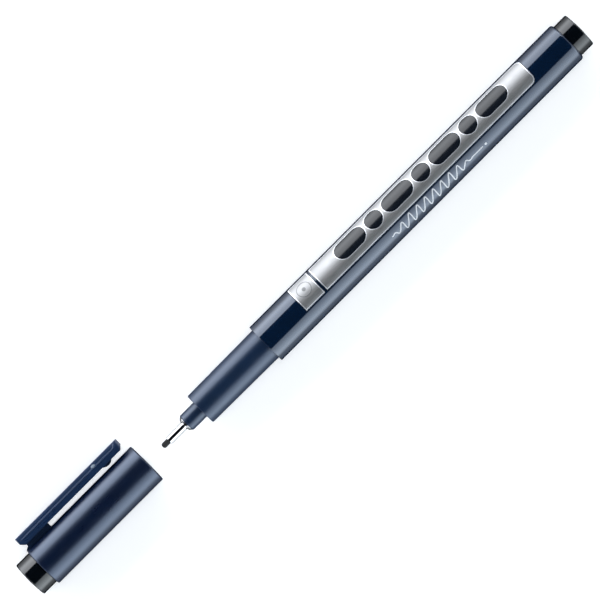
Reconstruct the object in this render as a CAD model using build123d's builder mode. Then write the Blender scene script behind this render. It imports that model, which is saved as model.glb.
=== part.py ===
"""Technical pen: a fibre-tip drawing pen with its pull-off cap laid in line in front of the nib.

Frame, in millimetres: the pen lies along X, with the cap at -X and the rear plug at +X. The clip
points along +Y and +Z is up. The origin is at the middle of the footprint, on the surface below.
"""

import os

from build123d import *

os.makedirs("parts", exist_ok=True)

# Lengths along the pen, from the end of the cap to the end of the barrel
cap_plug_length = 4.37
cap_shell_length = 33.36
mouth_to_tip = 5.04
tip_length = 2.0
sleeve_length = 4.75
nozzle_length = 5.27
grip_length = 20.92
barrel_length = 96.82
rear_plug_length = 4.03

# Outside radii
barrel_radius = 5.25
cap_radius = 5.20
plug_radius = 4.525
grip_front_radius = 4.13
grip_rear_radius = 4.30
nozzle_radius = 2.225
sleeve_radius = 1.0
nib_radius = 0.7

# Walls, bores and what goes into them
barrel_bore_radius = 4.0
grip_bore_radius = 3.05
grip_front_wall = 2.0
grip_spigot_length = 8.6
holder_radius = 3.0
wick_bore_radius = 0.8
running_gap = 0.02
cap_bore_radius = 4.5
cap_seat_radius = 4.1
cap_seat_length = 5.0
bead_radius = 4.38
bead_from_mouth = 5.8
bead_length = 0.4
bead_ramp = 0.4

# Nib end
collar_radius = 2.0
collar_length = 0.75
nozzle_bevel = 0.25
sleeve_depth = 8.0
holder_length = 16.5
groove_count = 4
groove_width = 0.5
groove_depth = 0.4

# Ink store
film_radius = 3.8
film_thickness = 0.1
reservoir_length = 80.0
wick_into_reservoir = 7.5
rib_count = 6
rib_width = 0.6
rib_length = 78.0
rib_from_spigot = 1.5
reservoir_from_spigot = 0.5

# End plugs
dome_height = 0.3
plug_edge_radius = 0.35
plug_spigot_lead = 0.3
plug_end_wall = 1.4
rear_spigot_length = 6.5
rear_plug_bore_radius = 2.8
cap_plug_bore_radius = 3.3

# Inner cap
seal_gap = 0.1
throat_radius = 1.9
throat_taper = 1.0
seal_length = 4.7
seal_lead = 0.2
inner_cap_mouth_radius = 2.95
inner_cap_floor = 1.0
tip_room = 1.0
face_gap = 0.8

# Clip
clip_outer = 8.87
clip_inner = 6.28
clip_length = 32.1
clip_width = 5.2
clip_crest_width = 4.4
clip_bevel_height = 1.12
clip_crest_rounding = 0.25
clip_end_rounding = 1.6
clip_root_rounding = 0.5
clip_end_chamfer = 1.0
clip_root_chamfer = 0.9
web_front = 1.04
web_length = 6.8
web_width = 2.4
web_flare = 0.6
web_flare_length = 0.95
web_heel = 0.15
bump_from_end = 5.2
bump_length = 2.7
bump_height = 0.57
bump_width = 2.4
tongue_length = 5.4
tongue_width = 1.6
tongue_depth = 0.85
slot_depth = 1.0
slot_margin = 0.2
clip_seat_gap = 0.03

# Label foils, let flush into the barrel
label_from_step = 11.92
label_divider_at = 6.25
label_divider_width = 0.75
label_length = 73.6
label_width = 6.94
label_corner = 1.5
label_tilt = 27.65
foil_thickness = 0.06

# Small edges
barrel_front_edge = 0.15
barrel_rear_edge = 0.65
cap_end_edge = 0.4
cap_mouth_edge = 0.12
cap_mouth_lead = 0.25
grip_edge = 0.3
tip_rounding = 0.45
closed_gap = 0.08

# How far pieces of one solid run into each other before they are joined or cut
overlap = 0.2

# Stations along X, measured from the middle of the whole length
half_length = (
    cap_plug_length
    + cap_shell_length
    + mouth_to_tip
    + tip_length
    + sleeve_length
    + nozzle_length
    + grip_length
    + barrel_length
    + rear_plug_length
) / 2
cap_end = -half_length
cap_shoulder = cap_end + cap_plug_length
cap_mouth = cap_shoulder + cap_shell_length
nib_tip = cap_mouth + mouth_to_tip
sleeve_front = nib_tip + tip_length
nozzle_front = sleeve_front + sleeve_length
grip_front = nozzle_front + nozzle_length
barrel_front = grip_front + grip_length
barrel_rear = barrel_front + barrel_length
cap_travel = barrel_front - cap_mouth - closed_gap

# The axis of the pen, seen in the frame of the whole object
axis_y = (barrel_radius - clip_outer) / 2
axis_z = barrel_radius
pen_axis = Axis((0, axis_y, axis_z), (1, 0, 0))

# Sketches on the side plane have X along the pen and Y outwards, towards the clip
side = Plane(origin=(0, axis_y, axis_z), x_dir=(1, 0, 0), z_dir=(0, 0, 1))


def across(station):
    """The plane square to the pen at a station, facing +X."""
    return Plane(origin=(station, axis_y, axis_z), x_dir=(0, 1, 0), z_dir=(1, 0, 0))


# ---------------------------------------------------------------- label foils
# Each foil is a flat outline pressed onto the barrel along the direction it faces,
# kept only within the foil's own thickness.
label_front = barrel_front + label_from_step
divider_front = label_front + label_divider_at - label_divider_width / 2
divider_rear = divider_front + label_divider_width
label_rear = label_front + label_length
label_plane = side.rotated((-label_tilt, 0, 0))


def foil(front, rear, rounding):
    """A foil from one station to another, with its rear corners rounded."""
    with BuildPart() as piece:
        with BuildSketch(label_plane):
            with Locations(((front + rear) / 2, 0)):
                outline = Rectangle(rear - front, label_width)
            if rounding:
                fillet(outline.vertices().group_by(Axis.X)[-1], rounding)
        extrude(amount=2 * barrel_radius)
        with BuildSketch(side):
            with Locations(((front + rear) / 2, barrel_radius - foil_thickness / 2)):
                Rectangle(2 * (rear - front), foil_thickness)
        revolve(axis=pen_axis, mode=Mode.INTERSECT)
    return piece


label_badge = foil(label_front, divider_front, 0)
label_badge.part.label = "label_badge"
label_panel = foil(divider_rear, label_rear, label_corner)
label_panel.part.label = "label_panel"

# ------------------------------------------------------------------ barrel
# A tube that steps down to the grip section at the front, with ribs that hold the ink
# reservoir away from the wall so that air can pass along it.
with BuildPart() as barrel:
    with BuildSketch(side):
        with BuildLine():
            Polyline(
                (barrel_front, barrel_bore_radius),
                (barrel_front, barrel_radius),
                (barrel_rear, barrel_radius),
                (barrel_rear, barrel_bore_radius),
                close=True,
            )
        make_face()
    revolve(axis=pen_axis)
    rims = barrel.edges().filter_by(GeomType.CIRCLE).group_by(SortBy.RADIUS)[-1]
    fillet(rims.sort_by(Axis.X)[0], barrel_front_edge)
    fillet(
        barrel.edges().filter_by(GeomType.CIRCLE).group_by(Axis.X)[-1].sort_by(SortBy.RADIUS)[-1],
        barrel_rear_edge,
    )
    rib_foot = barrel_bore_radius + overlap
    rib_top = film_radius + running_gap
    with BuildSketch(across(barrel_front + grip_spigot_length + rib_from_spigot)):
        with PolarLocations((rib_foot + rib_top) / 2, rib_count):
            Rectangle(rib_foot - rib_top, rib_width)
    extrude(amount=rib_length)
    add(label_badge.part, mode=Mode.SUBTRACT)
    add(label_panel.part, mode=Mode.SUBTRACT)
barrel.part.label = "barrel"

# ------------------------------------------------------------- grip section
# The outside tapers towards the nib. The rear end is a spigot pushed into the barrel.
with BuildPart() as grip_section:
    spigot_rear = barrel_front + grip_spigot_length
    with BuildSketch(side):
        with BuildLine():
            Polyline(
                (grip_front, nozzle_radius + running_gap),
                (grip_front, grip_front_radius),
                (barrel_front, grip_rear_radius),
                (barrel_front, barrel_bore_radius),
                (spigot_rear, barrel_bore_radius),
                (spigot_rear, grip_bore_radius),
                (grip_front + grip_front_wall, grip_bore_radius),
                (grip_front + grip_front_wall, nozzle_radius + running_gap),
                close=True,
            )
        make_face()
    revolve(axis=pen_axis)
    front_rims = grip_section.edges().filter_by(GeomType.CIRCLE).group_by(Axis.X)[0]
    fillet(front_rims.sort_by(SortBy.RADIUS)[-1], grip_edge)
    rear_rims = grip_section.edges().filter_by(GeomType.CIRCLE).group_by(Axis.X)[-1]
    chamfer(rear_rims.sort_by(SortBy.RADIUS)[-1], plug_spigot_lead)
grip_section.part.label = "grip_section"

# --------------------------------------------------------------- nib holder
# The nozzle shows in front of the grip section. The wider body behind it stops against the
# inside of the grip's front wall, and grooves along that body let air in as ink leaves.
with BuildPart() as nib_holder:
    shoulder = grip_front + grip_front_wall
    collar_rear = nozzle_front + collar_length
    sleeve_rear = collar_rear + sleeve_depth
    holder_rear = shoulder + holder_length
    with BuildSketch(side):
        with BuildLine():
            Polyline(
                (collar_rear, sleeve_radius),
                (collar_rear, collar_radius),
                (collar_rear + nozzle_bevel, nozzle_radius),
                (shoulder, nozzle_radius),
                (shoulder, holder_radius),
                (holder_rear, holder_radius),
                (holder_rear, wick_bore_radius),
                (sleeve_rear, wick_bore_radius),
                (sleeve_rear, sleeve_radius),
                close=True,
            )
        make_face()
    revolve(axis=pen_axis)
    with BuildSketch(across(shoulder)):
        with PolarLocations(holder_radius, groove_count):
            Rectangle(2 * groove_depth, groove_width)
    extrude(amount=holder_length, mode=Mode.SUBTRACT)
nib_holder.part.label = "nib_holder"

# --------------------------------------------------------------- nib sleeve
# A thin steel tube whose collar flares out against the front of the nozzle.
with BuildPart() as nib_sleeve:
    sleeve_bore = nib_radius + running_gap
    with BuildSketch(side):
        with BuildLine():
            Polyline(
                (sleeve_front, sleeve_bore),
                (sleeve_front, sleeve_radius),
                (nozzle_front, sleeve_radius),
                (collar_rear, collar_radius),
                (collar_rear, sleeve_radius),
                (sleeve_rear, sleeve_radius),
                (sleeve_rear, sleeve_bore),
                close=True,
            )
        make_face()
    revolve(axis=pen_axis)
    mouth_rims = nib_sleeve.edges().filter_by(GeomType.CIRCLE).group_by(Axis.X)[0]
    fillet(mouth_rims.sort_by(SortBy.RADIUS)[-1], (sleeve_radius - sleeve_bore) / 2)
nib_sleeve.part.label = "nib_sleeve"

# ---------------------------------------------------------------- fibre nib
# One rod of bonded fibre, from the writing tip to the ink in the reservoir.
with BuildPart() as fibre_nib:
    reservoir_front = spigot_rear + reservoir_from_spigot
    wick_rear = reservoir_front + wick_into_reservoir
    with BuildSketch(across(nib_tip)):
        Circle(nib_radius)
    extrude(amount=wick_rear - nib_tip)
    fillet(fibre_nib.edges().filter_by(GeomType.CIRCLE).sort_by(Axis.X)[0], tip_rounding)
fibre_nib.part.label = "fibre_nib"

# ---------------------------------------------------------------- ink store
with BuildPart() as ink_reservoir:
    with BuildSketch(across(reservoir_front)):
        Circle(film_radius - film_thickness - running_gap)
    extrude(amount=reservoir_length)
    with BuildSketch(across(reservoir_front)):
        Circle(nib_radius + running_gap)
    extrude(amount=wick_into_reservoir + running_gap, mode=Mode.SUBTRACT)
ink_reservoir.part.label = "ink_reservoir"

with BuildPart() as reservoir_film:
    with BuildSketch(across(reservoir_front)):
        Circle(film_radius)
        Circle(film_radius - film_thickness, mode=Mode.SUBTRACT)
    extrude(amount=reservoir_length)
reservoir_film.part.label = "reservoir_film"


# ---------------------------------------------------------------- end plugs
def end_plug(seat, outwards, head_length, spigot_radius, spigot_length, bore_radius):
    """A plug whose domed head stands outwards from a seat, above a hollow spigot."""

    def at(distance):
        return seat + outwards * distance

    rim = head_length - dome_height
    dome_edge = plug_radius - plug_edge_radius
    dome_radius = (dome_edge**2 + dome_height**2) / (2 * dome_height)
    with BuildPart() as piece:
        with BuildSketch(side):
            with BuildLine():
                Polyline(
                    (at(head_length), 0),
                    (at(head_length - plug_end_wall), 0),
                    (at(head_length - plug_end_wall), bore_radius),
                    (at(-spigot_length), bore_radius),
                    (at(-spigot_length), spigot_radius - plug_spigot_lead),
                    (at(plug_spigot_lead - spigot_length), spigot_radius),
                    (at(0), spigot_radius),
                    (at(0), plug_radius),
                    (at(rim - plug_edge_radius), plug_radius),
                )
                TangentArc(
                    (at(rim - plug_edge_radius), plug_radius),
                    (at(rim), dome_edge),
                    tangent=(outwards, 0),
                )
                RadiusArc((at(rim), dome_edge), (at(head_length), 0), outwards * dome_radius)
            make_face()
        revolve(axis=pen_axis)
    return piece


rear_plug = end_plug(
    barrel_rear,
    1,
    rear_plug_length,
    barrel_bore_radius,
    rear_spigot_length,
    rear_plug_bore_radius,
)
rear_plug.part.label = "rear_plug"
cap_plug = end_plug(
    cap_shoulder,
    -1,
    cap_plug_length,
    cap_seat_radius,
    cap_seat_length,
    cap_plug_bore_radius,
)
cap_plug.part.label = "cap_plug"

# ---------------------------------------------------------------- cap shell
# An open tube with a bead inside that snaps over the grip section. The clip's tongue sits in
# a slot near the closed end.
web_root = cap_shoulder + web_front
slot_middle = web_root + web_length / 2

with BuildPart() as cap_shell:
    with BuildSketch(side):
        with BuildLine():
            Polyline(
                (cap_shoulder, cap_seat_radius),
                (cap_shoulder, cap_radius),
                (cap_mouth, cap_radius),
                (cap_mouth, cap_bore_radius + cap_mouth_lead),
                (cap_mouth - cap_mouth_lead, cap_bore_radius),
                (cap_mouth - bead_from_mouth + bead_ramp, cap_bore_radius),
                (cap_mouth - bead_from_mouth, bead_radius),
                (cap_mouth - bead_from_mouth - bead_length, bead_radius),
                (cap_mouth - bead_from_mouth - bead_length - bead_ramp, cap_bore_radius),
                (cap_shoulder + cap_seat_length, cap_bore_radius),
                (cap_shoulder + cap_seat_length, cap_seat_radius),
                close=True,
            )
        make_face()
    revolve(axis=pen_axis)
    rims = cap_shell.edges().filter_by(GeomType.CIRCLE).group_by(SortBy.RADIUS)[-1]
    fillet(rims.sort_by(Axis.X)[0], cap_end_edge)
    rims = cap_shell.edges().filter_by(GeomType.CIRCLE).group_by(Axis.X)[-1]
    fillet(rims.sort_by(SortBy.RADIUS)[-1], cap_mouth_edge)
    with BuildSketch(side.offset(-tongue_width / 2 - slot_margin)):
        with Locations((slot_middle, cap_radius)):
            Rectangle(tongue_length + 2 * slot_margin, 2 * slot_depth)
    extrude(amount=tongue_width + 2 * slot_margin, mode=Mode.SUBTRACT)
cap_shell.part.label = "cap_shell"

# ---------------------------------------------------------------- inner cap
# A cup pressed into the cap's plug. Its mouth closes round the nozzle when the cap is on.
with BuildPart() as inner_cap:
    cup_mouth = grip_front - cap_travel - face_gap
    cup_floor = nib_tip - cap_travel - tip_room
    throat = cup_mouth - seal_length
    plug_mouth = cap_shoulder + cap_seat_length
    with BuildSketch(side):
        with BuildLine():
            Polyline(
                (cup_floor - inner_cap_floor, 0),
                (cup_floor - inner_cap_floor, cap_plug_bore_radius),
                (plug_mouth, cap_plug_bore_radius),
                (cup_mouth, inner_cap_mouth_radius),
                (cup_mouth, nozzle_radius + seal_gap + seal_lead),
                (cup_mouth - seal_lead, nozzle_radius + seal_gap),
                (throat, nozzle_radius + seal_gap),
                (throat - throat_taper, throat_radius),
                (cup_floor, throat_radius),
                (cup_floor, 0),
                close=True,
            )
        make_face()
    revolve(axis=pen_axis)
inner_cap.part.label = "inner_cap"

# -------------------------------------------------------------- pocket clip
# A bar with bevelled shoulders, rounded in plan at its free end, on a web that stands on the
# cap. A bump under the bar grips the cloth, and a tongue holds the web in the cap's slot.
with BuildPart() as pocket_clip:
    clip_root = cap_shoulder
    clip_end = clip_root + clip_length
    half_width = clip_width / 2
    bevel_foot = clip_outer - clip_bevel_height
    with BuildSketch(across(clip_root)):
        with BuildLine():
            Polyline(
                (clip_inner, -half_width),
                (bevel_foot, -half_width),
                (clip_outer, -clip_crest_width / 2),
                (clip_outer, clip_crest_width / 2),
                (bevel_foot, half_width),
                (clip_inner, half_width),
                close=True,
            )
        make_face()
    extrude(amount=clip_length)
    crest_edges = pocket_clip.faces().sort_by(Axis.Y)[-1].edges().filter_by(Axis.X)
    fillet(crest_edges, clip_crest_rounding)
    # the outline seen from above the crest
    with BuildSketch(Plane(origin=side.origin, x_dir=(1, 0, 0), z_dir=(0, 1, 0))):
        with Locations(((clip_root + clip_end) / 2, 0)):
            plan = Rectangle(clip_length, clip_width)
        fillet(plan.vertices().group_by(Axis.X)[-1], clip_end_rounding)
        fillet(plan.vertices().group_by(Axis.X)[0], clip_root_rounding)
    extrude(amount=clip_outer + overlap, mode=Mode.INTERSECT)
    # the lower corners, cut away at both ends
    with BuildSketch(side):
        with BuildLine():
            Polyline(
                (clip_root, clip_outer + overlap),
                (clip_root, clip_inner + clip_root_chamfer),
                (clip_root + clip_root_chamfer, clip_inner),
                (clip_end - clip_end_chamfer, clip_inner),
                (clip_end, clip_inner + clip_end_chamfer),
                (clip_end, clip_outer + overlap),
                close=True,
            )
        make_face()
    extrude(amount=clip_width, both=True, mode=Mode.INTERSECT)
    # the web, flared where it meets the cap
    web_end = web_root + web_length
    web_foot = cap_radius - web_flare
    with BuildSketch(side):
        with BuildLine():
            Polyline(
                (web_root, clip_inner + overlap),
                (web_root, cap_radius + web_flare),
                (web_root - web_flare_length, cap_radius),
                (web_root - web_flare_length, web_foot),
                (web_end + web_heel, web_foot),
                (web_end + web_heel, cap_radius),
                (web_end, cap_radius + web_heel),
                (web_end, clip_inner + overlap),
                close=True,
            )
        make_face()
    extrude(amount=web_width / 2, both=True)
    with BuildSketch(across(clip_root - overlap)):
        Circle(cap_radius + clip_seat_gap)
    extrude(amount=clip_length + 2 * overlap, mode=Mode.SUBTRACT)
    # the tongue
    with BuildSketch(side):
        with Locations((slot_middle, cap_radius + overlap)):
            Rectangle(tongue_length, tongue_depth + overlap, align=(Align.CENTER, Align.MAX))
    extrude(amount=tongue_width / 2, both=True)
    # the bump, a shallow arc across the bar
    bump_end = clip_end - bump_from_end + bump_length / 2
    with BuildSketch(side):
        with BuildLine():
            ThreePointArc(
                (bump_end - bump_length, clip_inner),
                (bump_end - bump_length / 2, clip_inner - bump_height),
                (bump_end, clip_inner),
            )
            Polyline(
                (bump_end, clip_inner),
                (bump_end, clip_inner + overlap),
                (bump_end - bump_length, clip_inner + overlap),
                (bump_end - bump_length, clip_inner),
            )
        make_face()
    extrude(amount=bump_width / 2, both=True)
pocket_clip.part.label = "pocket_clip"

for piece in (
    barrel,
    label_badge,
    label_panel,
    grip_section,
    nib_holder,
    nib_sleeve,
    fibre_nib,
    ink_reservoir,
    reservoir_film,
    rear_plug,
    cap_shell,
    cap_plug,
    inner_cap,
    pocket_clip,
):
    export_step(piece.part, f"parts/{piece.part.label}.step")
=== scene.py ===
"""Looks of the technical pen: a fibre-tip drawing pen with its clip cap lying in line in front.

Blender works in metres. Shapes are written in millimetres on the pen's own axis and turned
into metres when they are built. Angles round the pen start at the top, towards +Z, and grow
towards the clip, at +Y. The lights are placed in metres.
"""

import math

import bmesh
import bpy
from mathutils import Matrix, Vector


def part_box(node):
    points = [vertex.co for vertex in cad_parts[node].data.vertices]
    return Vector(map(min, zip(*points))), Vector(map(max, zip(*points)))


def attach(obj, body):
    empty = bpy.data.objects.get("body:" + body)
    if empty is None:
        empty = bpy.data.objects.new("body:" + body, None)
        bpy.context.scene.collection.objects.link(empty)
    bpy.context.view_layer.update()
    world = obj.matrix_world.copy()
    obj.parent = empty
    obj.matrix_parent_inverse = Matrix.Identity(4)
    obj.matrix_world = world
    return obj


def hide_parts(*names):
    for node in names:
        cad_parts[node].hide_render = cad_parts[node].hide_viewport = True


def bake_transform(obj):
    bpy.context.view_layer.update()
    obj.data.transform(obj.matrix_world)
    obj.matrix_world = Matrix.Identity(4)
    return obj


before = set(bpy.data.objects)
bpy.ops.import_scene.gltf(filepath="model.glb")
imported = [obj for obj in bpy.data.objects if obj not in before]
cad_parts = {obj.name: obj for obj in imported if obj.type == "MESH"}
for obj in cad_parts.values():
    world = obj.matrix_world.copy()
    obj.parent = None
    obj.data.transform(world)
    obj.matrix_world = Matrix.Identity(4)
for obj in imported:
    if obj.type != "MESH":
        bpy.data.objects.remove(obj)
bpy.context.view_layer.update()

MM = 0.001
FULL_TURN = 2 * math.pi
SAME_PLACE = 1e-6
# Facets round the pen and in a rounded edge, and the width of a strip of foil or print
AROUND = 192
ARC_STEPS = 6
WRAP_STEP = 0.2

# ------------------------------------------------------------------ the frame, in millimetres
barrel_low, barrel_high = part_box("barrel")
AXIS_Y = (barrel_low.y + barrel_high.y) / 2 / MM
AXIS_Z = (barrel_low.z + barrel_high.z) / 2 / MM


def span(node):
    """Where a CAD node starts and ends along the pen, in millimetres."""
    low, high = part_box(node)
    return low.x / MM, high.x / MM


def radius(node):
    """The outside radius of a round CAD node, in millimetres."""
    low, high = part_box(node)
    return (high.z - low.z) / 2 / MM


# ------------------------------------------------------------------ mesh helpers
def place(x, r, angle):
    """A point at a station, a radius and an angle round the pen, in metres."""
    return Vector((x, AXIS_Y + r * math.sin(angle), AXIS_Z + r * math.cos(angle))) * MM


def put(name, data):
    """A new object in the scene from a mesh, a light or a camera."""
    thing = bpy.data.objects.new(name, data)
    bpy.context.scene.collection.objects.link(thing)
    return thing


def write_points(mesh, name, values):
    """Stores one number for each point of a mesh, for a material to read."""
    attribute = mesh.attributes.new(name, "FLOAT", "POINT")
    attribute.data.foreach_set("value", values)


def solid(name, verts, faces, normals, material):
    """A new object from points, faces and one normal for each face corner."""
    mesh = bpy.data.meshes.new(name)
    mesh.from_pydata(verts, [], faces)
    mesh.materials.append(material)
    mesh.polygons.foreach_set("use_smooth", [True] * len(faces))
    mesh.normals_split_custom_set(normals)
    return put(name, mesh)


def solid_from(bm, name, material):
    """A new smooth object from a bmesh, which is freed."""
    mesh = bpy.data.meshes.new(name)
    bm.to_mesh(mesh)
    bm.free()
    mesh.materials.append(material)
    mesh.polygons.foreach_set("use_smooth", [True] * len(mesh.polygons))
    return put(name, mesh)


def outward(direction):
    """The outward side of a direction along a profile, with the material on its right."""
    return Vector((-direction.y, direction.x))


def rounded(corners, closed):
    """A profile of (x, r, fillet) corners as runs of (point, normal, on_edge)."""
    points = [Vector(corner[:2]) for corner in corners]
    count = len(points)
    arrive, leave, arcs = [], [], []
    for i, (point, corner) in enumerate(zip(points, corners)):
        inner = closed or 0 < i < count - 1
        fillet = corner[2]
        if not (inner and fillet):
            arrive.append(point)
            leave.append(point)
            arcs.append(None)
            continue
        before = (point - points[i - 1]).normalized()
        after = (points[(i + 1) % count] - point).normalized()
        bend = before.angle(after)
        side = -1 if before.cross(after) < 0 else 1
        start = point - before * fillet * math.tan(bend / 2)
        centre = start + outward(before) * fillet * side
        arc = []
        for k in range(ARC_STEPS + 1):
            normal = outward(before)
            normal.rotate(Matrix.Rotation(side * bend * k / ARC_STEPS, 2))
            arc.append((centre - normal * fillet * side, normal, 0 < k < ARC_STEPS))
        arrive.append(arc[0][0])
        leave.append(arc[-1][0])
        arcs.append(arc)
    runs = []
    for i in range(count):
        if arcs[i]:
            runs.append(arcs[i])
        j = (i + 1) % count
        straight = arrive[j] - leave[i]
        if (closed or i < count - 1) and straight.length > SAME_PLACE / 10:
            normal = outward(straight.normalized())
            runs.append([(leave[i], normal, False), (arrive[j], normal, False)])
    return runs


def lathe(name, corners, material, closed=True):
    """A solid turned round the pen's axis from (x, r, fillet) corners, with exact normals."""
    verts, rings, faces, normals, edge = [], [], [], [], []

    def ring(point, on_edge):
        """The profile point's (point, first vertex, vertex count), one vertex on the axis."""
        if rings and (rings[-1][0] - point).length < SAME_PLACE:
            return rings[-1]
        if closed and len(rings) > 2 and (rings[0][0] - point).length < SAME_PLACE:
            return rings[0]
        size = AROUND if point.y > SAME_PLACE else 1
        rings.append((point, len(verts), size))
        for k in range(size):
            verts.append(place(point.x, max(point.y, 0), FULL_TURN * k / AROUND))
            edge.append(1.0 if on_edge else 0.0)
        return rings[-1]

    for run in rounded(corners, closed):
        for (p, p_normal, p_edge), (q, q_normal, q_edge) in zip(run, run[1:]):
            a = ring(p, p_edge)
            b = ring(q, q_edge)
            for k in range(AROUND):
                m = (k + 1) % AROUND
                around = [(a, k, p_normal), (b, k, q_normal), (b, m, q_normal), (a, m, p_normal)]
                if a[2] == 1:
                    around.pop(3)
                elif b[2] == 1:
                    around.pop(2)
                face = []
                for (_, first, size), step, normal in around:
                    on_axis = size == 1
                    face.append(first if on_axis else first + step)
                    angle = FULL_TURN * (k + 0.5 if on_axis else step) / AROUND
                    normals.append(
                        (normal.x, normal.y * math.sin(angle), normal.y * math.cos(angle))
                    )
                faces.append(face)
    piece = solid(name, verts, faces, normals, material)
    write_points(piece.data, "edge", edge)
    return piece


def cut_across(bm, point, normal, tolerance):
    """Cuts every face of a bmesh along a plane."""
    bmesh.ops.bisect_plane(
        bm,
        geom=bm.verts[:] + bm.edges[:] + bm.faces[:],
        plane_co=point,
        plane_no=normal,
        dist=tolerance,
    )


def wrapped(name, polygons, foot, top, material):
    """A thin closed piece from flat polygons of (x, way round) millimetres, laid on the barrel.

    The way round is measured on the barrel's surface, from the top towards the clip.
    """
    bm = bmesh.new()
    for polygon in polygons:
        bm.faces.new([bm.verts.new((x, way_round, 0)) for x, way_round in polygon])
    bmesh.ops.remove_doubles(bm, verts=bm.verts, dist=1e-4)
    ways = [vert.co.y for vert in bm.verts]
    first_cut = math.ceil(min(ways) / WRAP_STEP)
    last_cut = math.floor(max(ways) / WRAP_STEP)
    for k in range(first_cut, last_cut + 1):
        cut_across(bm, (0, k * WRAP_STEP, 0), (0, 1, 0), 1e-5)
    bmesh.ops.remove_doubles(bm, verts=bm.verts, dist=1e-3)
    raised = bmesh.ops.extrude_face_region(bm, geom=bm.faces[:], use_keep_orig=True)
    for item in raised["geom"]:
        if isinstance(item, bmesh.types.BMVert):
            item.co.z = 1
    bmesh.ops.recalc_face_normals(bm, faces=bm.faces[:])
    bm.verts.index_update()
    flat = [vert.co.copy() for vert in bm.verts]
    faces = [[vert.index for vert in face.verts] for face in bm.faces]
    directions = [face.normal.copy() for face in bm.faces]
    bm.free()
    verts = [place(c.x, foot + (top - foot) * c.z, c.y / BARREL_RADIUS) for c in flat]
    normals = []
    for face, direction in zip(faces, directions):
        for index in face:
            angle = flat[index].y / BARREL_RADIUS
            up = Vector((0, math.sin(angle), math.cos(angle)))
            along = Vector((0, math.cos(angle), -math.sin(angle)))
            level = Vector((direction.x, 0, 0))
            normals.append(level + along * direction.y + up * direction.z)
    return solid(name, verts, faces, normals, material)


def keep(piece, body, node=None):
    """Rides a finished piece on its body and the CAD node it replaces."""
    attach(piece, body)
    if node:
        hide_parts(node)


# ------------------------------------------------------------------ flat outlines, (x, way round)
def quarter(x, y, r, start, steps):
    """Points along a quarter turn about a centre, from a start in degrees."""
    angles = [math.radians(start + 90 * k / steps) for k in range(steps + 1)]
    return [(x + r * math.cos(a), y + r * math.sin(a)) for a in angles]


def circle(x, y, r, steps=48):
    """The outline of a circle."""
    angles = [FULL_TURN * k / steps for k in range(steps)]
    return [(x + r * math.cos(a), y + r * math.sin(a)) for a in angles]


def rounded_box(x0, x1, y0, y1, r):
    """The outline of a rectangle with rounded corners."""
    steps = 10
    return (
        quarter(x1 - r, y1 - r, r, 0, steps)
        + quarter(x0 + r, y1 - r, r, 90, steps)
        + quarter(x0 + r, y0 + r, r, 180, steps)
        + quarter(x1 - r, y0 + r, r, 270, steps)
    )


def band(outer, inner):
    """The strip between two outlines with the same number of points."""
    count = len(outer)
    strip = []
    for i in range(count):
        j = (i + 1) % count
        strip.append([outer[i], outer[j], inner[j], inner[i]])
    return strip


def stroke(path, width):
    """A pen stroke of one width along a path, with round ends."""
    left, right = [], []
    for i, point in enumerate(path):
        before = Vector(path[max(i - 1, 0)])
        after = Vector(path[min(i + 1, len(path) - 1)])
        side = outward((after - before).normalized()) * width / 2
        left.append((point[0] + side.x, point[1] + side.y))
        right.append((point[0] - side.x, point[1] - side.y))
    polygons = []
    for i in range(len(path) - 1):
        polygons.append([left[i], right[i], right[i + 1], left[i + 1]])
    steps = 8
    for end, first, last in ((path[0], left[0], right[0]), (path[-1], right[-1], left[-1])):
        centre = Vector(end)
        round_end = [first]
        for k in range(1, steps):
            arm = Vector(first) - centre
            arm.rotate(Matrix.Rotation(math.pi * k / steps, 2))
            round_end.append(tuple(centre + arm))
        round_end.append(last)
        polygons.append(round_end)
    return polygons


# ------------------------------------------------------------------ materials
# Nearly all of the noise lies in this range
NOISE_LOW, NOISE_HIGH = 0.22, 0.78
MICROMETRE = 1e-6


def mix_colours(tree, factor, a, b):
    """A blend of two colours in a node tree, each a colour or another node's output."""
    mix = tree.nodes.new("ShaderNodeMix")
    mix.data_type = "RGBA"
    tree.links.new(factor, mix.inputs["Factor"])
    sockets = [socket for socket in mix.inputs if socket.type == "RGBA"]
    for socket, value in zip(sockets, (a, b)):
        if isinstance(value, tuple):
            socket.default_value = (*value, 1)
        else:
            tree.links.new(value, socket)
    return next(socket for socket in mix.outputs if socket.type == "RGBA")


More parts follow.
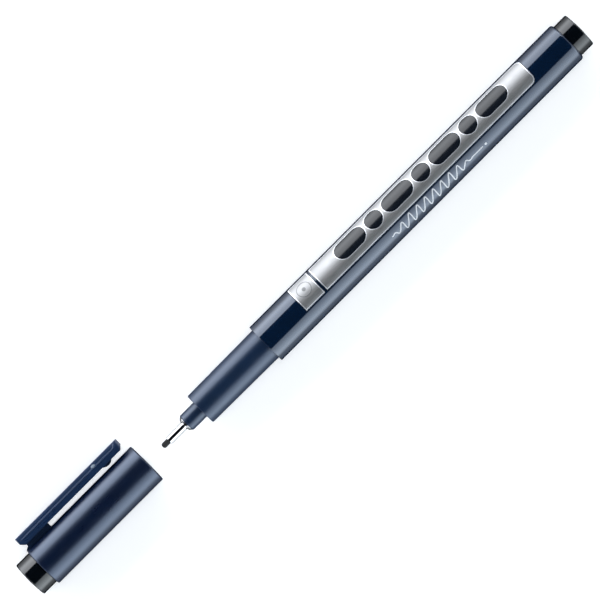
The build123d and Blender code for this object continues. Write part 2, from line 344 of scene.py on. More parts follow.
class Surface:
    """A Principled material that is built up node by node."""

    def __init__(self, name, **settings):
        self.material = bpy.data.materials.new(name)
        self.material.use_nodes = True
        self.tree = self.material.node_tree
        self.shader = self.tree.nodes["Principled BSDF"]
        for socket, value in settings.items():
            self.shader.inputs[socket.replace("_", " ")].default_value = value
        self.place = self.tree.nodes.new("ShaderNodeTexCoord").outputs["Object"]

    def link(self, source, target):
        self.tree.links.new(source, target)

    def noise(self, scale, detail, stretch=(1, 1, 1), distortion=0.0):
        """Noise of so many cells to the metre, stretched by a factor along each axis."""
        mapping = self.tree.nodes.new("ShaderNodeMapping")
        mapping.inputs["Scale"].default_value = [scale / s for s in stretch]
        texture = self.tree.nodes.new("ShaderNodeTexNoise")
        texture.inputs["Scale"].default_value = 1
        texture.inputs["Detail"].default_value = detail
        texture.inputs["Distortion"].default_value = distortion
        self.link(self.place, mapping.inputs["Vector"])
        self.link(mapping.outputs["Vector"], texture.inputs["Vector"])
        return texture.outputs["Fac"]

    def between(self, noise, low, high):
        """Noise spread from a low to a high value."""
        spread = self.tree.nodes.new("ShaderNodeMapRange")
        spread.inputs["From Min"].default_value = NOISE_LOW
        spread.inputs["From Max"].default_value = NOISE_HIGH
        spread.inputs["To Min"].default_value = low
        spread.inputs["To Max"].default_value = high
        self.link(noise, spread.inputs["Value"])
        return spread.outputs["Result"]

    def maths(self, operation, a, b):
        """A sum or product of two values, each a number or another node's output."""
        result = self.tree.nodes.new("ShaderNodeMath")
        result.operation = operation
        for socket, value in zip(result.inputs, (a, b)):
            if isinstance(value, float):
                socket.default_value = value
            else:
                self.link(value, socket)
        return result.outputs["Value"]

    def mix(self, factor, a, b):
        return mix_colours(self.tree, factor, a, b)

    def attribute(self, name):
        """A number that is stored on the mesh."""
        stored = self.tree.nodes.new("ShaderNodeAttribute")
        stored.attribute_name = name
        return stored.outputs["Fac"]

    def bump(self, heights):
        """Bumps from (height output, depth in micrometres) pairs, one on top of the other."""
        normal = None
        for height, depth in heights:
            bump = self.tree.nodes.new("ShaderNodeBump")
            bump.inputs["Strength"].default_value = 1
            bump.inputs["Distance"].default_value = depth * MICROMETRE
            self.link(height, bump.inputs["Height"])
            if normal:
                self.link(normal, bump.inputs["Normal"])
            normal = bump.outputs["Normal"]
        self.link(normal, self.shader.inputs["Normal"])

    def colour(self, output):
        self.link(output, self.shader.inputs["Base Color"])

    def rough(self, output):
        self.link(output, self.shader.inputs["Roughness"])


def shade(colour, factor):
    """A colour made darker or lighter by a factor."""
    return tuple(c * factor for c in colour)


def plastic(name, colour, roughness, grain, coat=0.0, gloss_tint=(1, 1, 1)):
    """Moulded plastic: mottled colour, uneven gloss, paler rubbed edges and a fine grain.

    The grain is a list of (cells to the metre, depth in micrometres).
    """
    surface = Surface(
        name,
        IOR=1.72,
        Coat_Weight=coat,
        Coat_Roughness=0.04,
        Coat_IOR=1.5,
        Specular_Tint=(*gloss_tint, 1),
    )
    clouds = surface.noise(220, 3)
    speckle = surface.noise(9000, 1)
    smudge = surface.noise(450, 4, stretch=(2.5, 1, 1), distortion=0.6)
    body = surface.mix(surface.between(clouds, 0, 1), shade(colour, 0.86), shade(colour, 1.16))
    body = surface.mix(surface.between(speckle, 0, 0.35), body, shade(colour, 1.5))
    wear = surface.maths("MULTIPLY", surface.attribute("edge"), surface.between(smudge, 0.1, 0.5))
    surface.colour(surface.mix(wear, body, tuple(c * 2 + 0.004 for c in colour)))
    gloss = surface.between(smudge, roughness * 0.9, roughness * 1.15)
    surface.rough(surface.maths("ADD", gloss, surface.maths("MULTIPLY", wear, 0.15)))
    surface.bump([(surface.noise(cells, 2), depth) for cells, depth in grain])
    return surface.material


def metal(name, colour, roughness, streak_depth):
    """Drawn or foiled metal with fine streaks along the pen."""
    surface = Surface(name, Metallic=1.0)
    streaks = surface.noise(14000, 2, stretch=(60, 1, 1))
    patches = surface.noise(500, 3)
    surface.colour(
        surface.mix(surface.between(streaks, 0, 1), shade(colour, 0.94), shade(colour, 1.04))
    )
    gloss = surface.between(patches, roughness * 0.93, roughness * 1.07)
    surface.rough(surface.maths("ADD", gloss, surface.between(streaks, 0, roughness * 0.15)))
    surface.bump([(streaks, streak_depth)])
    return surface.material


def print_ink(name, colour, roughness):
    """Screen-printed ink: nearly even colour with a faint mesh in its surface."""
    surface = Surface(name, IOR=1.52)
    weave = surface.noise(7000, 1)
    clouds = surface.noise(600, 3)
    surface.colour(
        surface.mix(surface.between(clouds, 0, 1), shade(colour, 0.85), shade(colour, 1.15))
    )
    surface.rough(surface.between(clouds, roughness * 0.9, roughness * 1.2))
    surface.bump([(weave, 0.25)])
    return surface.material


def fibre(name, colour):
    """Bundled fibres that run along the pen, soaked with ink."""
    surface = Surface(name, IOR=1.4, Sheen_Weight=0.15)
    strands = surface.noise(16000, 2, stretch=(12, 1, 1))
    soak = surface.noise(1500, 3)
    tone = surface.mix(surface.between(strands, 0, 1), shade(colour, 0.55), shade(colour, 1.6))
    surface.colour(surface.mix(surface.between(soak, 0, 0.5), tone, shade(colour, 0.7)))
    surface.rough(surface.between(strands, 0.75, 0.95))
    surface.bump([(strands, 12)])
    return surface.material


NAVY_GLOSS = (0.76, 0.86, 1.04)
BLUER_GLOSS = (0.79, 0.93, 1.19)
BLACK_GLOSS = (0.74, 0.75, 0.76)
barrel_gloss = plastic(
    "barrel_navy_gloss",
    (0.0012, 0.0066, 0.0205),
    0.09,
    [(500, 0.5), (5000, 0.03)],
    coat=0.4,
    gloss_tint=NAVY_GLOSS,
)
cap_satin = plastic(
    "cap_navy_satin",
    (0.0003, 0.0038, 0.0180),
    0.29,
    [(700, 0.4), (6000, 0.3)],
    gloss_tint=BLUER_GLOSS,
)
grip_satin = plastic(
    "grip_navy_satin", (0.0018, 0.0105, 0.0330), 0.32, [(6000, 0.5)], gloss_tint=NAVY_GLOSS
)
clip_satin = plastic(
    "clip_navy_satin",
    (0.0040, 0.0160, 0.0500),
    0.28,
    [(800, 0.4), (6000, 0.35)],
    gloss_tint=NAVY_GLOSS,
)
# The clip's mark is coloured pale: a painted highlight that stands in for a glint on the raised
# mark
mark_painted_highlight = plastic(
    "clip_mark_pale", (0.085, 0.11, 0.14), 0.35, [(6000, 0.35)], gloss_tint=NAVY_GLOSS
)
plug_gloss = plastic(
    "plug_black_gloss",
    (0.0010, 0.0018, 0.0030),
    0.1,
    [(600, 0.4), (5000, 0.04)],
    coat=0.2,
    gloss_tint=BLACK_GLOSS,
)
inner_satin = plastic("inner_natural_satin", (0.62, 0.63, 0.61), 0.42, [(900, 1.0), (5000, 0.6)])
film_milky = plastic("film_milky", (0.6, 0.61, 0.63), 0.25, [(900, 0.8)])

foil_silver = metal("foil_silver", (0.395, 0.397, 0.405), 0.5, 0.1)
foil_rim = metal("foil_rim_light", (0.86, 0.88, 0.92), 0.5, 0.05)
steel = metal("steel_drawn", (0.78, 0.78, 0.79), 0.12, 0.1)

print_grey = print_ink("print_grey", (0.16, 0.165, 0.17), 0.3)
print_navy = print_ink("print_navy", (0.004, 0.006, 0.010), 0.16)
print_line = print_ink("print_outline_navy", (0.006, 0.010, 0.018), 0.3)
print_white = print_ink("print_white", (0.50, 0.52, 0.55), 0.35)

nib_felt = fibre("nib_fibre_inked", (0.017, 0.017, 0.018))
ink_felt = fibre("ink_fibre_soaked", (0.02, 0.02, 0.026))

# ------------------------------------------------------------------ barrel and plugs
BARREL_FRONT, BARREL_REAR = span("barrel")
CAD_BARREL_RADIUS = radius("barrel")
# A little under the CAD's radius, which leaves room for the foil and the print
BARREL_RADIUS = CAD_BARREL_RADIUS - 0.03
BARREL_BORE = 4.0
GRIP_REAR_RADIUS = 4.3
barrel_tube = lathe(
    "barrel_tube",
    [
        (BARREL_FRONT, BARREL_RADIUS, 0.15),
        (BARREL_REAR, BARREL_RADIUS, 0.7),
        (BARREL_REAR, BARREL_BORE, 0.12),
        (BARREL_FRONT, BARREL_BORE, 0),
        (BARREL_FRONT, GRIP_REAR_RADIUS, 0),
    ],
    barrel_gloss,
)
keep(barrel_tube, "pen", "barrel")

PLUG_RADIUS = 4.525
PLUG_WALL = 1.4
PLUG_EDGE = 0.35
DOME_HEIGHT = 0.3
DOME_LIP = 0.02
DOME_STEPS = 10
SPIGOT_LEAD = 0.3
REAR_SPIGOT_RADIUS = BARREL_BORE
CAP_SEAT_RADIUS = 4.1
CAP_SEAT_LENGTH = 5.0
CAP_END, CAP_MOUTH = span("cap_shell")


def plug(name, seat, end, spigot_radius, spigot_length, bore_radius):
    """An end plug with a softly domed head and a hollow spigot."""
    out = 1 if end > seat else -1
    dome_edge = PLUG_RADIUS - PLUG_EDGE
    dome_radius = (dome_edge**2 + DOME_HEIGHT**2) / (2 * DOME_HEIGHT)
    dome_centre = end - out * dome_radius
    crown = []
    for k in range(DOME_STEPS):
        angle = math.asin(dome_edge / dome_radius) * k / DOME_STEPS
        x = dome_centre + out * dome_radius * math.cos(angle)
        crown.append((x, dome_radius * math.sin(angle), 0.8))
    inner_wall = end - out * PLUG_WALL
    spigot_end = seat - out * spigot_length
    corners = [
        (inner_wall, 0, 0),
        (inner_wall, bore_radius, 0.2),
        (spigot_end, bore_radius, 0),
        (spigot_end, spigot_radius - SPIGOT_LEAD, 0),
        (spigot_end + out * SPIGOT_LEAD, spigot_radius, 0),
        (seat, spigot_radius, 0),
        (seat, PLUG_RADIUS, 0.08),
        (end - out * (DOME_HEIGHT - DOME_LIP), PLUG_RADIUS, 0.33),
        *reversed(crown),
    ]
    if out < 0:
        corners.reverse()
    return lathe(name, corners, plug_gloss, closed=False)


rear_plug = plug(
    "rear_plug_black",
    BARREL_REAR,
    span("rear_plug")[1],
    REAR_SPIGOT_RADIUS,
    spigot_length=6.5,
    bore_radius=2.8,
)
keep(rear_plug, "pen", "rear_plug")
cap_plug = plug(
    "cap_plug_black",
    CAP_END,
    span("cap_plug")[0],
    CAP_SEAT_RADIUS,
    spigot_length=CAP_SEAT_LENGTH,
    bore_radius=3.3,
)
keep(cap_plug, "cap", "cap_plug")

# ------------------------------------------------------------------ grip, nozzle and nib
GRIP_FRONT = span("grip_section")[0]
GRIP_FRONT_RADIUS = 4.13
GRIP_BORE = 3.05
GRIP_WALL_REAR = GRIP_FRONT + 2.0
GRIP_SPIGOT_RADIUS = 3.98
GRIP_SPIGOT_END_RADIUS = 3.7
GRIP_SPIGOT_REAR = BARREL_FRONT + 8.6
NOZZLE_RADIUS = 2.225
NOZZLE_HOLE = NOZZLE_RADIUS + 0.02
grip = lathe(
    "grip_tapered",
    [
        (GRIP_FRONT, NOZZLE_HOLE, 0.06),
        (GRIP_FRONT, GRIP_FRONT_RADIUS, 0.3),
        (BARREL_FRONT, GRIP_REAR_RADIUS, 0),
        (BARREL_FRONT, GRIP_SPIGOT_RADIUS, 0),
        (GRIP_SPIGOT_REAR - SPIGOT_LEAD, GRIP_SPIGOT_RADIUS, 0.1),
        (GRIP_SPIGOT_REAR, GRIP_SPIGOT_END_RADIUS, 0),
        (GRIP_SPIGOT_REAR, GRIP_BORE, 0),
        (GRIP_WALL_REAR, GRIP_BORE, 0),
        (GRIP_WALL_REAR, NOZZLE_HOLE, 0),
    ],
    grip_satin,
)
keep(grip, "pen", "grip_section")

NOZZLE_FRONT, HOLDER_REAR = span("nib_holder")
NOZZLE_BEVEL = 0.25
HOLDER_RADIUS = 3.0
WICK_BORE = 0.8
COLLAR_RADIUS = 2.0
SLEEVE_FRONT, SLEEVE_REAR = span("nib_sleeve")
SLEEVE_RADIUS = 1.0
SLEEVE_BORE = 0.72
holder = lathe(
    "nozzle_and_nib_holder",
    [
        (NOZZLE_FRONT, SLEEVE_RADIUS, 0),
        (NOZZLE_FRONT, COLLAR_RADIUS, 0.03),
        (NOZZLE_FRONT + NOZZLE_BEVEL, NOZZLE_RADIUS, 0.3),
        (GRIP_WALL_REAR, NOZZLE_RADIUS, 0),
        (GRIP_WALL_REAR, HOLDER_RADIUS, 0.1),
        (HOLDER_REAR, HOLDER_RADIUS, 0.1),
        (HOLDER_REAR, WICK_BORE, 0),
        (SLEEVE_REAR, WICK_BORE, 0),
        (SLEEVE_REAR, SLEEVE_RADIUS, 0),
    ],
    grip_satin,
)
keep(holder, "pen", "nib_holder")

COLLAR_LENGTH = 0.75
SHOULDER_LENGTH = 0.45
SHOULDER_RADIUS = 1.62
sleeve = lathe(
    "nib_sleeve_steel",
    [
        (SLEEVE_FRONT, SLEEVE_BORE, 0),
        (SLEEVE_FRONT, SLEEVE_RADIUS, 0.12),
        (NOZZLE_FRONT - COLLAR_LENGTH, SLEEVE_RADIUS, 0.15),
        (NOZZLE_FRONT - SHOULDER_LENGTH, SHOULDER_RADIUS, 0.4),
        (NOZZLE_FRONT, COLLAR_RADIUS, 0.05),
        (NOZZLE_FRONT, SLEEVE_RADIUS, 0),
        (SLEEVE_REAR, SLEEVE_RADIUS, 0),
        (SLEEVE_REAR, SLEEVE_BORE, 0),
    ],
    steel,
)
keep(sleeve, "pen", "nib_sleeve")

NIB_FRONT, NIB_REAR = span("fibre_nib")
NIB_RADIUS = 0.7
nib = lathe(
    "fibre_nib_rod",
    [
        (NIB_FRONT, 0, 0),
        (NIB_FRONT, NIB_RADIUS, 0.6),
        (NIB_REAR, NIB_RADIUS, 0),
        (NIB_REAR, 0, 0),
    ],
    nib_felt,
    closed=False,
)
keep(nib, "pen", "fibre_nib")

# ------------------------------------------------------------------ ink store
INK_FRONT, INK_REAR = span("ink_reservoir")
INK_RADIUS = radius("ink_reservoir")
bundle = lathe(
    "ink_reservoir_bundle",
    [
        (NIB_REAR, 0, 0),
        (NIB_REAR, NIB_RADIUS, 0),
        (INK_FRONT, NIB_RADIUS, 0),
        (INK_FRONT, INK_RADIUS, 0.25),
        (INK_REAR, INK_RADIUS, 0.25),
        (INK_REAR, 0, 0),
    ],
    ink_felt,
    closed=False,
)
keep(bundle, "pen", "ink_reservoir")

FILM_RADIUS = radius("reservoir_film")
FILM_BORE = INK_RADIUS + 0.02
film = lathe(
    "reservoir_film_tube",
    [
        (INK_FRONT, FILM_BORE, 0),
        (INK_FRONT, FILM_RADIUS, 0.03),
        (INK_REAR, FILM_RADIUS, 0.03),
        (INK_REAR, FILM_BORE, 0),
    ],
    film_milky,
)
keep(film, "pen", "reservoir_film")

# ------------------------------------------------------------------ cap
CAP_RADIUS = radius("cap_shell")
CAP_BORE = 4.5
CAP_SEAT = CAP_END + CAP_SEAT_LENGTH
MOUTH_RADIUS = 4.75
MOUTH_LEAD = 0.25
SNAP_RADIUS = 4.38
SNAP = CAP_MOUTH - 5.8
SNAP_LENGTH = 0.4
SNAP_RAMP = 0.4
cap_tube = lathe(
    "cap_tube",
    [
        (CAP_END, CAP_SEAT_RADIUS, 0),
        (CAP_END, CAP_RADIUS, 0.4),
        (CAP_MOUTH, CAP_RADIUS, 0.2),
        (CAP_MOUTH, MOUTH_RADIUS, 0),
        (CAP_MOUTH - MOUTH_LEAD, CAP_BORE, 0.1),
        (SNAP + SNAP_RAMP, CAP_BORE, 0.2),
        (SNAP, SNAP_RADIUS, 0.2),
        (SNAP - SNAP_LENGTH, SNAP_RADIUS, 0.2),
        (SNAP - SNAP_LENGTH - SNAP_RAMP, CAP_BORE, 0.2),
        (CAP_SEAT, CAP_BORE, 0.15),
        (CAP_SEAT, CAP_SEAT_RADIUS, 0),
    ],
    cap_satin,
)
keep(cap_tube, "cap", "cap_shell")

CUP_FLOOR, CUP_MOUTH = span("inner_cap")
CUP_INSIDE_FLOOR = CUP_FLOOR + 1.0
CUP_RADIUS = 3.3
CUP_MOUTH_RADIUS = 2.95
CUP_LEAD = 0.2
NOZZLE_SEAT_RADIUS = 2.325
NOZZLE_SEAT_REAR = CUP_MOUTH - 4.7
TIP_ROOM_RADIUS = 1.9
cup = lathe(
    "inner_cap_cup",
    [
        (CUP_FLOOR, 0, 0),
        (CUP_FLOOR, CUP_RADIUS, 0.1),
        (CAP_SEAT, CUP_RADIUS, 0),
        (CUP_MOUTH, CUP_MOUTH_RADIUS, 0.15),
        (CUP_MOUTH, NOZZLE_SEAT_RADIUS + CUP_LEAD, 0),
        (CUP_MOUTH - CUP_LEAD, NOZZLE_SEAT_RADIUS, 0),
        (NOZZLE_SEAT_REAR, NOZZLE_SEAT_RADIUS, 0.5),
        (NOZZLE_SEAT_REAR - 1.0, TIP_ROOM_RADIUS, 0.5),
        (CUP_INSIDE_FLOOR, TIP_ROOM_RADIUS, 0.3),
        (CUP_INSIDE_FLOOR, 0, 0),
    ],
    inner_satin,
    closed=False,
)
keep(cup, "cap", "inner_cap")

# ------------------------------------------------------------------ clip
clip_low, clip_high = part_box("pocket_clip")
CLIP_FRONT, CLIP_REAR = span("pocket_clip")
CLIP_Y = clip_high.y
CLIP_WIDTH = (clip_high.z - clip_low.z) / MM
CLIP_CREST_WIDTH = 4.4
CLIP_BEVEL_HEIGHT = 1.12
CLIP_EASE = 0.1


def eased_copy(name, node, width, stations, material):
    """A CAD node's own shape with its hard edges eased, cut across at stations so it can bend."""
    bm = bmesh.new()
    bm.from_mesh(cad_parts[node].data)
    bmesh.ops.remove_doubles(bm, verts=bm.verts, dist=1e-6)
    bmesh.ops.dissolve_limit(bm, angle_limit=math.radians(0.5), verts=bm.verts, edges=bm.edges)
    hard = [e for e in bm.edges if e.calc_face_angle(0) > math.radians(25)]
    edge = bm.verts.layers.float.new("edge")
    eased = bmesh.ops.bevel(
        bm,
        geom=hard,
        offset=width * MM,
        offset_type="OFFSET",
        segments=3,
        profile=0.5,
        affect="EDGES",
        clamp_overlap=True,
    )
    rounds = set(eased["faces"])
    for vert in eased["verts"]:
        if all(face in rounds for face in vert.link_faces):
            vert[edge] = 1.0
    for x in stations:
        cut_across(bm, (x * MM, 0, 0), (1, 0, 0), 1e-7)
    bmesh.ops.remove_doubles(bm, verts=bm.verts, dist=1e-6)
    bmesh.ops.recalc_face_normals(bm, faces=bm.faces[:])
    piece = solid_from(bm, name, material)
    weighted = piece.modifiers.new("weighted", "WEIGHTED_NORMAL")
    weighted.weight = 100
    bpy.context.view_layer.update()
    depsgraph = bpy.context.evaluated_depsgraph_get()
    done = bpy.data.meshes.new_from_object(piece.evaluated_get(depsgraph))
    piece.modifiers.clear()
    piece.data = done
    done.name = name
    return piece


def bend_with_clip(piece):
    """Bakes a piece of the clip's placement into its mesh."""
    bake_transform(piece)


stations = [CLIP_FRONT + 1 + k for k in range(int(CLIP_REAR - CLIP_FRONT - 1))]
clip = eased_copy("clip_spring", "pocket_clip", CLIP_EASE, stations, clip_satin)
bend_with_clip(clip)
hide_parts("pocket_clip")


def on_clip_side(x, height, up):
    """A point on the clip's side at a height up its bevel, and the bevel's tilt there."""
    fall = (CLIP_WIDTH - CLIP_CREST_WIDTH) / 2
    z = CLIP_WIDTH / 2 - fall * max(height, 0) / CLIP_BEVEL_HEIGHT
    tilt = math.atan2(fall, CLIP_BEVEL_HEIGHT) if height > 0 else 0
    return Vector((x, CLIP_Y / MM - CLIP_BEVEL_HEIGHT + height, AXIS_Z + up * z)), tilt


BEAD_RADIUS = 0.16
BEAD_SIDES = 10
BEAD_END_SHARE = 0.35
BEAD_TAPER_STEPS = 3
BEAD_FRONT = CLIP_FRONT + 0.6
BEAD_STEP = 0.5
BEAD_STRAIGHT_END = CLIP_REAR - 2.2
CURL_RADIUS = 1.0
CURL_HEIGHT = 0.85


def bead_path():
    """The bead's (x, height up the bevel) points: straight, then curled up at the free end."""
    count = int((BEAD_STRAIGHT_END - CLIP_FRONT) / BEAD_STEP)
    path = [(BEAD_FRONT + BEAD_STEP * k, 0.0) for k in range(count)]
    for k in range(11):
        a = math.radians(9 * k)
        x = BEAD_STRAIGHT_END + CURL_RADIUS * math.sin(a)
        path.append((x, CURL_HEIGHT * (1 - math.cos(a))))
    return path


def bead(name, path, up):
    """A fine bead along one side of the clip, half as high as wide, which thins out at its ends."""
    bm = bmesh.new()
    rings = []
    last = len(path) - 1
    for i, (x, height) in enumerate(path):
        along = Vector(path[min(i + 1, last)]) - Vector(path[max(i - 1, 0)])
        centre, tilt = on_clip_side(x, height, up)
        out = Vector((0, math.sin(tilt), up * math.cos(tilt)))
        across = along.to_3d().cross(out).normalized()
        grown = min(1.0, min(i, last - i) / BEAD_TAPER_STEPS)
        thickness = BEAD_RADIUS * (BEAD_END_SHARE + (1 - BEAD_END_SHARE) * grown)
        ring = []
        for k in range(BEAD_SIDES):
            a = FULL_TURN * k / BEAD_SIDES
            offset = (across * math.cos(a) + out * math.sin(a) / 2) * thickness
            ring.append(bm.verts.new((centre + offset) * MM))
        rings.append(ring)
    for a, b in zip(rings, rings[1:]):
        for k in range(BEAD_SIDES):
            m = (k + 1) % BEAD_SIDES
            bm.faces.new((a[k], a[m], b[m], b[k]))
    bm.faces.new(reversed(rings[0]))
    bm.faces.new(rings[-1])
    bmesh.ops.recalc_face_normals(bm, faces=bm.faces[:])
    piece = solid_from(bm, name, clip_satin)
    write_points(piece.data, "edge", [1.0] * len(piece.data.vertices))
    return piece


for name, up in (("clip_bead_upper", 1), ("clip_bead_lower", -1)):
    bend_with_clip(bead(name, bead_path(), up))

MARK_FROM_END = 7.9
MARK_HEIGHT = 0.28
MARK_SIZE = (0.58, 0.42, 0.13)


def moulding_mark():
    """A small raised lens on the clip's side, over its bump; its pale colour is a painted
    highlight.
    """
    bm = bmesh.new()
    bmesh.ops.create_uvsphere(bm, u_segments=32, v_segments=16, radius=1)
    centre, tilt = on_clip_side(CLIP_REAR - MARK_FROM_END, MARK_HEIGHT, 1)
    for vert in bm.verts:
        flat = vert.co * Vector(MARK_SIZE)
        vert.co = (Matrix.Rotation(-tilt, 3, "X") @ flat + centre) * MM
    piece = solid_from(bm, "clip_moulding_mark", mark_painted_highlight)
    write_points(piece.data, "edge", [1.0] * len(piece.data.vertices))
    return piece


keep(moulding_mark(), "clip")

# ------------------------------------------------------------------ label
LABEL_TILT = 27.65
LABEL_HALF = 41.35
RIM_WIDTH = 0.24
OUTLINE_WIDTH = 0.2
FOIL_FOOT = BARREL_RADIUS - 0.02
FOIL_TOP = CAD_BARREL_RADIUS - 0.015
RIM_FOOT = BARREL_RADIUS - 0.01
RIM_TOP = FOIL_TOP + 0.006
OUTLINE_TOP = FOIL_TOP - 0.004


def way(degrees):
    """The way round the barrel to an angle, in millimetres."""
    return math.radians(degrees) * BARREL_RADIUS


LABEL_LOW = way(LABEL_TILT - LABEL_HALF)
LABEL_HIGH = way(LABEL_TILT + LABEL_HALF)


def label_outline(front, rear, rounding, inset):
    """A label's outline, square at the front and rounded at the rear, drawn in by an inset."""
    front, rear = front + inset, rear - inset
    low, high = LABEL_LOW + inset, LABEL_HIGH - inset
    r = max(rounding - inset, 0.02)
    steps = 12
    rear_side = quarter(rear - r, low + r, r, 270, steps) + quarter(rear - r, high - r, r, 0, steps)
    return [(front, low), *rear_side, (front, high)]


for name, rounding in (("badge", 0.05), ("panel", 1.5)):
    front, rear = span(f"label_{name}")
    outer = label_outline(front, rear, rounding, 0)
    inner = label_outline(front, rear, rounding, RIM_WIDTH)
    outside = label_outline(front, rear, rounding, -OUTLINE_WIDTH)
    foil = wrapped(f"{name}_foil", [outer], FOIL_FOOT, FOIL_TOP, foil_silver)
    keep(foil, "pen", f"label_{name}")
    rim = wrapped(f"{name}_rim", band(outer, inner), RIM_FOOT, RIM_TOP, foil_rim)
    keep(rim, "pen")
    outline = wrapped(f"{name}_outline", band(outside, outer), FOIL_FOOT, OUTLINE_TOP, print_line)
    keep(outline, "pen")

# ------------------------------------------------------------------ printed marks
PRINT_FOOT = FOIL_TOP - 0.01
PRINT_TOP = CAD_BARREL_RADIUS - 0.003
PRINT_EDGE_TOP = PRINT_TOP - 0.005
PATTERN_LOW, PATTERN_HIGH = way(5.9), way(57.7)
PATTERN_FRONT, PATTERN_REAR = 12.6, 66.7
PATTERN_GAP = 0.75
PATTERN_EDGE = 0.17
# Just under the whole half height, so that the points of two corners never meet
PATTERN_ROUNDING = 0.999
DASHES = 4
DOTS = 3


def centre_line_pattern():
    """Long dashes and dots in turn, where a name would be: their outlines and light edges."""
    height = PATTERN_HIGH - PATTERN_LOW
    gaps = (DASHES + DOTS - 1) * PATTERN_GAP
    dash = (PATTERN_REAR - PATTERN_FRONT - DOTS * height - gaps) / DASHES
    fills, edges = [], []
    front = PATTERN_FRONT
    for k in range(DASHES + DOTS):
        rear = front + (dash if k % 2 == 0 else height)
        r = min(height, rear - front) / 2 * PATTERN_ROUNDING
        inner = rounded_box(front, rear, PATTERN_LOW, PATTERN_HIGH, r)
        outer = rounded_box(
            front - PATTERN_EDGE,
            rear + PATTERN_EDGE,
            PATTERN_LOW - PATTERN_EDGE,
            PATTERN_HIGH + PATTERN_EDGE,
            r + PATTERN_EDGE,
        )
        fills.append(inner)
        edges += band(outer, inner)
        front = rear + PATTERN_GAP
    return fills, edges


fills, edges = centre_line_pattern()
keep(wrapped("print_dash_and_dot", fills, PRINT_FOOT, PRINT_TOP, print_navy), "pen")
keep(wrapped("print_dash_and_dot_edges", edges, PRINT_FOOT, PRINT_EDGE_TOP, foil_rim), "pen")

BADGE_MIDDLE = sum(span("label_badge")) / 2
BADGE_WAY = way(30)
RING_OUTER = 1.9
RING_INNER = 1.7
RING_DOT = 0.5
RING_TOP = PRINT_TOP - 0.004
ring_outer = circle(BADGE_MIDDLE, BADGE_WAY, RING_OUTER)
ring_inner = circle(BADGE_MIDDLE, BADGE_WAY, RING_INNER)
ring_and_dot = [*band(ring_outer, ring_inner), circle(BADGE_MIDDLE, BADGE_WAY, RING_DOT)]
badge_print = wrapped("badge_ring_and_dot", ring_and_dot, PRINT_FOOT, RING_TOP, print_grey)
keep(badge_print, "pen")

SAMPLE_FRONT, SAMPLE_REAR = 24.7, 54.8
SAMPLE_WAY = way(-38.5)
SAMPLE_LINE = 0.27
SAMPLE_DOT = 0.3
SAMPLE_DOT_X = SAMPLE_REAR - 0.2
SAMPLE_STROKE_END = SAMPLE_REAR - 1.2
SAMPLE_FOOT = BARREL_RADIUS - 0.01
SAMPLE_TOP = BARREL_RADIUS + 0.008
WAVE_FRONT = SAMPLE_FRONT + 0.2
WAVE_LENGTH = SAMPLE_REAR - SAMPLE_FRONT - 4.5
WAVE_STEPS = 400
WAVES = 10
WAVE_HEIGHT = 1.45
WAVE_SLANT = 0.5
# The wave is at full height after a sixth of its length, and dies away over the last fifth
WAVE_RISE = 6
WAVE_FALL = 5


def line_sample():
    """The path of a drawn line: a slanting wave that runs out into a straight stroke."""
    path = []
    for k in range(WAVE_STEPS + 1):
        t = k / WAVE_STEPS
        swing = math.sin(FULL_TURN * WAVES * t) * min(1, WAVE_RISE * t, WAVE_FALL * (1 - t))
        x = WAVE_FRONT + WAVE_LENGTH * t + WAVE_SLANT * swing
        path.append((x, SAMPLE_WAY + WAVE_HEIGHT * swing))
    path.append((SAMPLE_STROKE_END, SAMPLE_WAY))
    return path


sample = wrapped(
    "print_line_sample",
    [*stroke(line_sample(), SAMPLE_LINE), circle(SAMPLE_DOT_X, SAMPLE_WAY, SAMPLE_DOT, 24)],
    SAMPLE_FOOT,
    SAMPLE_TOP,
    print_white,
)
keep(sample, "pen")

# ------------------------------------------------------------------ floor
FLOOR_REACH = 3
floor_mesh = bpy.data.meshes.new("floor")
floor_corners = [
    (-FLOOR_REACH, -FLOOR_REACH, 0),
    (FLOOR_REACH, -FLOOR_REACH, 0),
    (FLOOR_REACH, FLOOR_REACH, 0),
    (-FLOOR_REACH, FLOOR_REACH, 0),
]
floor_mesh.from_pydata(floor_corners, [], [(0, 1, 2, 3)])
floor = put("floor", floor_mesh)
paper = Surface(
    "floor_paper",
    Roughness=0.9,
    Specular_IOR_Level=0.2,
    Emission_Color=(1, 1, 1, 1),
    Emission_Strength=0.34,
)
paper_clouds = paper.between(paper.noise(20, 2), 0, 1)
paper.colour(paper.mix(paper_clouds, (0.8, 0.81, 0.82), (0.82, 0.83, 0.84)))
floor_mesh.materials.append(paper.material)
floor.visible_glossy = False
floor.visible_shadow = False


# ------------------------------------------------------------------ light, in metres
def glow_material(name, tint):
    """Light whose strength is written on the mesh."""
    material = bpy.data.materials.new(name)
    material.use_nodes = True
    tree = material.node_tree
    tree.nodes.clear()
    strength = tree.nodes.new("ShaderNodeAttribute")
    strength.attribute_name = "glow"
    light = tree.nodes.new("ShaderNodeEmission")
    light.inputs["Color"].default_value = (*tint, 1)
    result = tree.nodes.new("ShaderNodeOutputMaterial")
    tree.links.new(strength.outputs["Fac"], light.inputs["Strength"])
    tree.links.new(light.outputs["Emission"], result.inputs["Surface"])
    return material


def light_panel(name, rows, material, diffuse=True):
    """A soft light from rows of (point, strength) pairs."""
    across = len(rows[0])
    faces = []
    for i in range(len(rows) - 1):
        for k in range(across - 1):
            corner = i * across + k
            faces.append((corner, corner + 1, corner + across + 1, corner + across))
    mesh = bpy.data.meshes.new(name)
    mesh.from_pydata([point for row in rows for point, _ in row], [], faces)
    write_points(mesh, "glow", [strength for row in rows for _, strength in row])
    mesh.materials.append(material)
    panel = put(name, mesh)
    panel.visible_camera = False
    panel.visible_shadow = False
    panel.visible_diffuse = diffuse


LIGHT_DISTANCE = 0.5
# (x, share): even up to the grip, and a little weaker towards the rear plug
LIGHT_ALONG = [(-0.8, 1.0), (-0.012, 1.0), (0.1, 0.84), (0.8, 0.84)]
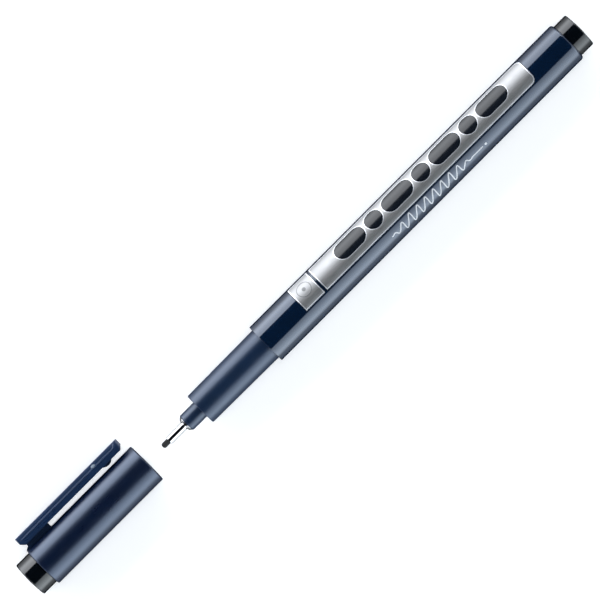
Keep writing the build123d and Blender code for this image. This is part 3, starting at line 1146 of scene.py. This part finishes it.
# (degrees down from straight up, strength): a sharp upper edge, brightest at the side, and a
# slow fade below
CLIP_SIDE_STRENGTHS = [(46, 0), (47.5, 3.5), (56, 3.75), (65, 4.1), (74, 4.6), (84, 4.9)]
CLIP_SIDE_STRENGTHS += [(94, 3.6), (106, 1.5), (120, 0.75), (138, 0.2), (150, 0)]
PLAIN_SIDE_STRENGTHS = [(38, 0), (39.5, 1.6), (47, 1.9), (56, 2.4), (65, 3.0), (74, 3.4)]
PLAIN_SIDE_STRENGTHS += [(84, 3.8), (94, 2.9), (106, 0.9), (120, 0.5), (138, 0.18), (150, 0)]


def curved_softbox(name, side, strengths, material):
    """A long light that curves round one side of the pen."""
    rows = []
    for degrees, strength in strengths:
        a = math.radians(degrees)
        y = AXIS_Y * MM + side * LIGHT_DISTANCE * math.sin(a)
        z = AXIS_Z * MM + LIGHT_DISTANCE * math.cos(a)
        rows.append([((x, y, z), strength * share) for x, share in LIGHT_ALONG])
    light_panel(name, rows, material)


clip_side_glow = glow_material("clip_side_glow", (0.95, 0.98, 1.02))
plain_side_glow = glow_material("plain_side_glow", (0.91, 0.99, 1.04))
curved_softbox("clip_side_light", 1, CLIP_SIDE_STRENGTHS, clip_side_glow)
curved_softbox("plain_side_light", -1, PLAIN_SIDE_STRENGTHS, plain_side_glow)

END_DISTANCE = 0.7
END_HALF_WIDTH = 0.35
# (height, strength)
END_STRENGTHS = [(-0.7, 2.0), (-0.1, 1.4), (0.25, 0.2)]
for name, side in (("nib_end_light", -1), ("rear_end_light", 1)):
    rows = []
    for z, strength in END_STRENGTHS:
        ends = (-END_HALF_WIDTH, END_HALF_WIDTH)
        rows.append([((side * END_DISTANCE, y, z), strength) for y in ends])
    light_panel(name, rows, clip_side_glow, diffuse=False)

top_fill = bpy.data.lights.new("top_fill", "AREA")
top_fill.shape = "DISK"
top_fill.size = 1.0
top_fill.energy = 4.4
top_lamp = put("top_fill", top_fill)
top_lamp.location = (0, 0, 1.3)
top_lamp.visible_glossy = False
top_lamp.visible_camera = False

# The surroundings are white behind the floor, dim as light and almost black in reflections
SURROUND_SEEN = (0.93, 0.94, 0.95)
SURROUND_LIGHT = (0.2, 0.205, 0.21)
SURROUND_REFLECTED = (0.004, 0.005, 0.007)
world = bpy.data.worlds.new("studio")
bpy.context.scene.world = world
world.use_nodes = True
tree = world.node_tree
path = tree.nodes.new("ShaderNodeLightPath")
surround = mix_colours(tree, path.outputs["Is Camera Ray"], SURROUND_LIGHT, SURROUND_SEEN)
surround = mix_colours(tree, path.outputs["Is Glossy Ray"], surround, SURROUND_REFLECTED)
tree.links.new(surround, tree.nodes["Background"].inputs["Color"])

# ------------------------------------------------------------------ camera
VIEW_WIDTH = 135.78
VIEW_TURN = 45.06
AIM_X, AIM_Y = -0.02, -0.316
LENS, SENSOR = 500, 36
camera_data = bpy.data.cameras.new("camera")
camera_data.lens = LENS
camera_data.sensor_width = SENSOR
camera_data.clip_start = 0.01
camera_data.clip_end = 20
camera = put("camera", camera_data)
camera.location = Vector((AIM_X, AIM_Y, AXIS_Z + LENS * VIEW_WIDTH / SENSOR)) * MM
camera.rotation_euler = (0, 0, math.radians(-VIEW_TURN))
bpy.context.scene.camera = camera
bpy.context.scene.view_settings.view_transform = "Standard"
